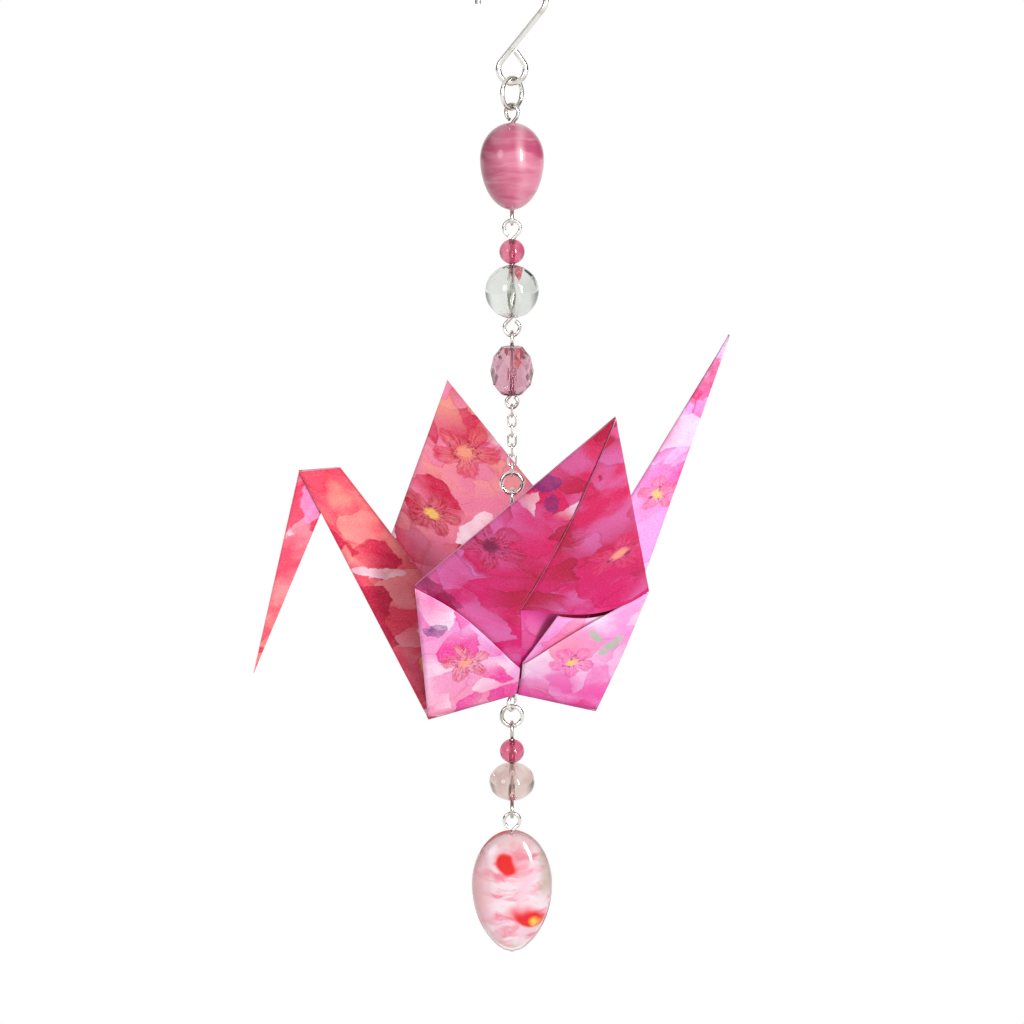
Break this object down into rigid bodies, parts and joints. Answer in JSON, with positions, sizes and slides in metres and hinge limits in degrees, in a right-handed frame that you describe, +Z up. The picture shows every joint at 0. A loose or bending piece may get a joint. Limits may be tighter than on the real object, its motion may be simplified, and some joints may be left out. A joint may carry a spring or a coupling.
{
  "type": "hanging origami crane ornament",
  "caption": "Folded paper crane on a hanging strand of glass beads, wire loops and fine chain, with a wire hook above and a leaf-shaped glass pendant below.",
  "frame": {"origin": "point at the inside top of the hook's arch, where it rests on a nail or branch", "axes": "+Z up along the strand; +X across the front in the plane of the hook, towards the crane's tail; +Y away from the viewer"},
  "size_m": [0.0767, 0.1141, 0.1626],
  "materials": {
    "plated_wire": "bright silver plate",
    "printed_paper": "matt paper printed with watercolour blossom",
    "swirled_pink_glass": "polished opaque glass with darker streaks",
    "rose_glass": "polished transparent glass",
    "clear_glass": "polished clear glass",
    "mauve_glass": "faceted transparent glass",
    "pale_pink_glass": "polished transparent glass",
    "cased_pink_glass": "clear glass over white and pink swirls"
  },
  "bodies": {
    "hook": {"hanging_hook": "plated_wire"},
    "top_jump_ring": {"top_jump_ring": "plated_wire"},
    "drop_bead_pin": {"drop_bead_pin": "plated_wire"},
    "upper_bead_pin": {"upper_bead_pin": "plated_wire"},
    "faceted_bead_pin": {"faceted_bead_pin": "plated_wire"},
    "chain_link_1": {"chain_link_1": "plated_wire"},
    "chain_link_2": {"chain_link_2": "plated_wire"},
    "chain_link_3": {"chain_link_3": "plated_wire"},
    "chain_link_4": {"chain_link_4": "plated_wire"},
    "chain_link_5": {"chain_link_5": "plated_wire"},
    "chain_link_6": {"chain_link_6": "plated_wire"},
    "chain_link_7": {"chain_link_7": "plated_wire"},
    "middle_jump_ring": {"middle_jump_ring": "plated_wire"},
    "crane_pin": {"crane_pin": "plated_wire"},
    "lower_jump_ring": {"lower_jump_ring": "plated_wire"},
    "lower_bead_pin": {"lower_bead_pin": "plated_wire"},
    "pendant": {"pendant_eye": "plated_wire", "leaf_pendant": "cased_pink_glass"},
    "swirl_drop_bead": {"swirl_drop_bead": "swirled_pink_glass"},
    "upper_round_bead": {"upper_round_bead": "rose_glass"},
    "clear_round_bead": {"clear_round_bead": "clear_glass"},
    "faceted_bead": {"faceted_bead": "mauve_glass"},
    "folded_crane": {"folded_crane": "printed_paper"},
    "lower_round_bead": {"lower_round_bead": "rose_glass"},
    "rondelle_bead": {"rondelle_bead": "pale_pink_glass"}
  },
  "joints": [
    {"name": "top_ring_swing", "type": "hinge", "parent": "hook", "child": "top_jump_ring", "pos_m": [0, 0, -0.01767], "axis": [1, 0, 0], "range_deg": [-45, 45]},
    {"name": "drop_pin_swing", "type": "hinge", "parent": "top_jump_ring", "child": "drop_bead_pin", "pos_m": [0, 0, -0.02163], "axis": [0.6428, 0.766, 0], "range_deg": [-45, 45]},
    {"name": "upper_pin_swing", "type": "hinge", "parent": "drop_bead_pin", "child": "upper_bead_pin", "pos_m": [0, 0, -0.03974], "axis": [0, 1, 0], "range_deg": [-25, 25]},
    {"name": "faceted_pin_swing", "type": "hinge", "parent": "upper_bead_pin", "child": "faceted_bead_pin", "pos_m": [0, 0, -0.0575], "axis": [1, 0, 0], "range_deg": [-25, 25]},
    {"name": "chain_link_1_swing", "type": "hinge", "parent": "faceted_bead_pin", "child": "chain_link_1", "pos_m": [0, 0, -0.06916], "axis": [1, 0, 0], "range_deg": [-12, 12]},
    {"name": "chain_link_2_swing", "type": "hinge", "parent": "chain_link_1", "child": "chain_link_2", "pos_m": [0, 0, -0.07066], "axis": [0, 1, 0], "range_deg": [-12, 12]},
    {"name": "chain_link_3_swing", "type": "hinge", "parent": "chain_link_2", "child": "chain_link_3", "pos_m": [0, 0, -0.07228], "axis": [1, 0, 0], "range_deg": [-12, 12]},
    {"name": "chain_link_4_swing", "type": "hinge", "parent": "chain_link_3", "child": "chain_link_4", "pos_m": [0, 0, -0.0739], "axis": [0, 1, 0], "range_deg": [-12, 12]},
    {"name": "chain_link_5_swing", "type": "hinge", "parent": "chain_link_4", "child": "chain_link_5", "pos_m": [0, 0, -0.07552], "axis": [1, 0, 0], "range_deg": [-12, 12]},
    {"name": "chain_link_6_swing", "type": "hinge", "parent": "chain_link_5", "child": "chain_link_6", "pos_m": [0, 0, -0.07714], "axis": [0, 1, 0], "range_deg": [-12, 12]},
    {"name": "chain_link_7_swing", "type": "hinge", "parent": "chain_link_6", "child": "chain_link_7", "pos_m": [0, 0, -0.07876], "axis": [1, 0, 0], "range_deg": [-12, 12]},
    {"name": "middle_ring_swing", "type": "hinge", "parent": "chain_link_7", "child": "middle_jump_ring", "pos_m": [0, 0, -0.08038], "axis": [0, 1, 0], "range_deg": [-12, 12]},
    {"name": "crane_pin_swing", "type": "hinge", "parent": "middle_jump_ring", "child": "crane_pin", "pos_m": [0, 0, -0.08321], "axis": [1, 0, 0], "range_deg": [-15, 15]},
    {"name": "lower_ring_swing", "type": "hinge", "parent": "crane_pin", "child": "lower_jump_ring", "pos_m": [0, 0, -0.1196], "axis": [0.5, 0.866, 0], "range_deg": [-40, 40]},
    {"name": "lower_pin_swing", "type": "hinge", "parent": "lower_jump_ring", "child": "lower_bead_pin", "pos_m": [0, 0, -0.12231], "axis": [1, 0, 0], "range_deg": [-40, 40]},
    {"name": "pendant_swing", "type": "hinge", "parent": "lower_bead_pin", "child": "pendant", "pos_m": [0, 0, -0.13797], "axis": [0, 1, 0], "range_deg": [-50, 50]},
    {"name": "drop_bead_spin", "type": "hinge", "parent": "drop_bead_pin", "child": "swirl_drop_bead", "pos_m": [0, 0, -0.03], "axis": [0, 0, 1], "continuous": true},
    {"name": "upper_round_bead_spin", "type": "hinge", "parent": "upper_bead_pin", "child": "upper_round_bead", "pos_m": [0, 0, -0.044], "axis": [0, 0, 1], "continuous": true},
    {"name": "clear_bead_spin", "type": "hinge", "parent": "upper_bead_pin", "child": "clear_round_bead", "pos_m": [0, 0, -0.05], "axis": [0, 0, 1], "continuous": true},
    {"name": "faceted_bead_spin", "type": "hinge", "parent": "faceted_bead_pin", "child": "faceted_bead", "pos_m": [0, 0, -0.063], "axis": [0, 0, 1], "continuous": true},
    {"name": "crane_spin", "type": "hinge", "parent": "crane_pin", "child": "folded_crane", "pos_m": [0, 0, -0.1], "axis": [0, 0, 1], "continuous": true},
    {"name": "lower_round_bead_spin", "type": "hinge", "parent": "lower_bead_pin", "child": "lower_round_bead", "pos_m": [0, 0, -0.126], "axis": [0, 0, 1], "continuous": true},
    {"name": "rondelle_spin", "type": "hinge", "parent": "lower_bead_pin", "child": "rondelle_bead", "pos_m": [0, 0, -0.131], "axis": [0, 0, 1], "continuous": true}
  ]
}
